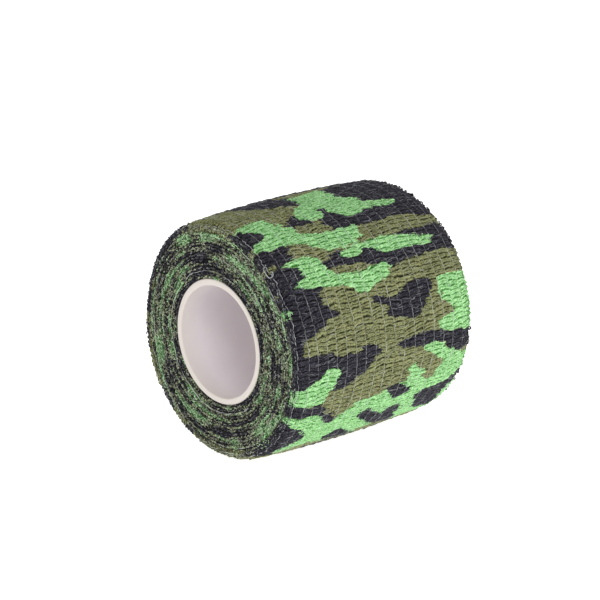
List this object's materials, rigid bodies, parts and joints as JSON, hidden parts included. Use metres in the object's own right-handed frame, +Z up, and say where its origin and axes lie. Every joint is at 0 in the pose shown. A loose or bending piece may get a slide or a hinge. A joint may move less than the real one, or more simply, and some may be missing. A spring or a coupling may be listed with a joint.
{
  "type": "cohesive elastic wrap roll",
  "caption": "Roll of camouflage-print cohesive elastic non-woven wrap wound on a plain plastic core, with a free end that peels away.",
  "frame": {"origin": "on the surface the roll lies on, under the middle of the roll, at the centre of its contact flat", "axes": "+Z up; +Y along the roll's axis from the front end face to the back one; +X to the side away from the free tail"},
  "size_m": [0.052, 0.05, 0.0516],
  "materials": {
    "core_plastic": "satin",
    "winding_fabric": "matte",
    "printed_web": "matte",
    "elastic_thread": "matte"
  },
  "bodies": {
    "roll": {"core_tube": "core_plastic", "wound_turns": "winding_fabric", "inner_web": "printed_web", "outer_web": "printed_web", "elastic_thread_01": "elastic_thread", "elastic_thread_02": "elastic_thread", "elastic_thread_03": "elastic_thread", "elastic_thread_04": "elastic_thread", "elastic_thread_05": "elastic_thread", "elastic_thread_06": "elastic_thread", "elastic_thread_07": "elastic_thread", "elastic_thread_08": "elastic_thread", "elastic_thread_09": "elastic_thread", "elastic_thread_10": "elastic_thread", "elastic_thread_11": "elastic_thread", "elastic_thread_12": "elastic_thread", "elastic_thread_13": "elastic_thread", "elastic_thread_14": "elastic_thread", "elastic_thread_15": "elastic_thread", "elastic_thread_16": "elastic_thread", "elastic_thread_17": "elastic_thread", "elastic_thread_18": "elastic_thread", "elastic_thread_19": "elastic_thread"},
    "tail_1": {"tail_segment_1": "printed_web"},
    "tail_2": {"tail_segment_2": "printed_web"},
    "tail_3": {"tail_segment_3": "printed_web"},
    "tail_4": {"tail_segment_4": "printed_web"}
  },
  "joints": [
    {"name": "tail_peel", "type": "hinge", "parent": "roll", "child": "tail_1", "pos_m": [-0.01583, 0, 0.04618], "axis": [0, 1, 0], "range_deg": [0, 90]},
    {"name": "tail_bend_1", "type": "hinge", "parent": "tail_1", "child": "tail_2", "pos_m": [-0.02252, 0, 0.03855], "axis": [0, 1, 0], "range_deg": [0, 24]},
    {"name": "tail_bend_2", "type": "hinge", "parent": "tail_2", "child": "tail_3", "pos_m": [-0.02578, 0, 0.02894], "axis": [0, 1, 0], "range_deg": [0, 24]},
    {"name": "tail_bend_3", "type": "hinge", "parent": "tail_3", "child": "tail_4", "pos_m": [-0.02511, 0, 0.01882], "axis": [0, 1, 0], "range_deg": [0, 24]}
  ],
  "couplings": [
    {"joint": "tail_bend_1", "follows": "tail_peel", "ratio": 0.26},
    {"joint": "tail_bend_2", "follows": "tail_peel", "ratio": 0.26},
    {"joint": "tail_bend_3", "follows": "tail_peel", "ratio": 0.26}
  ]
}
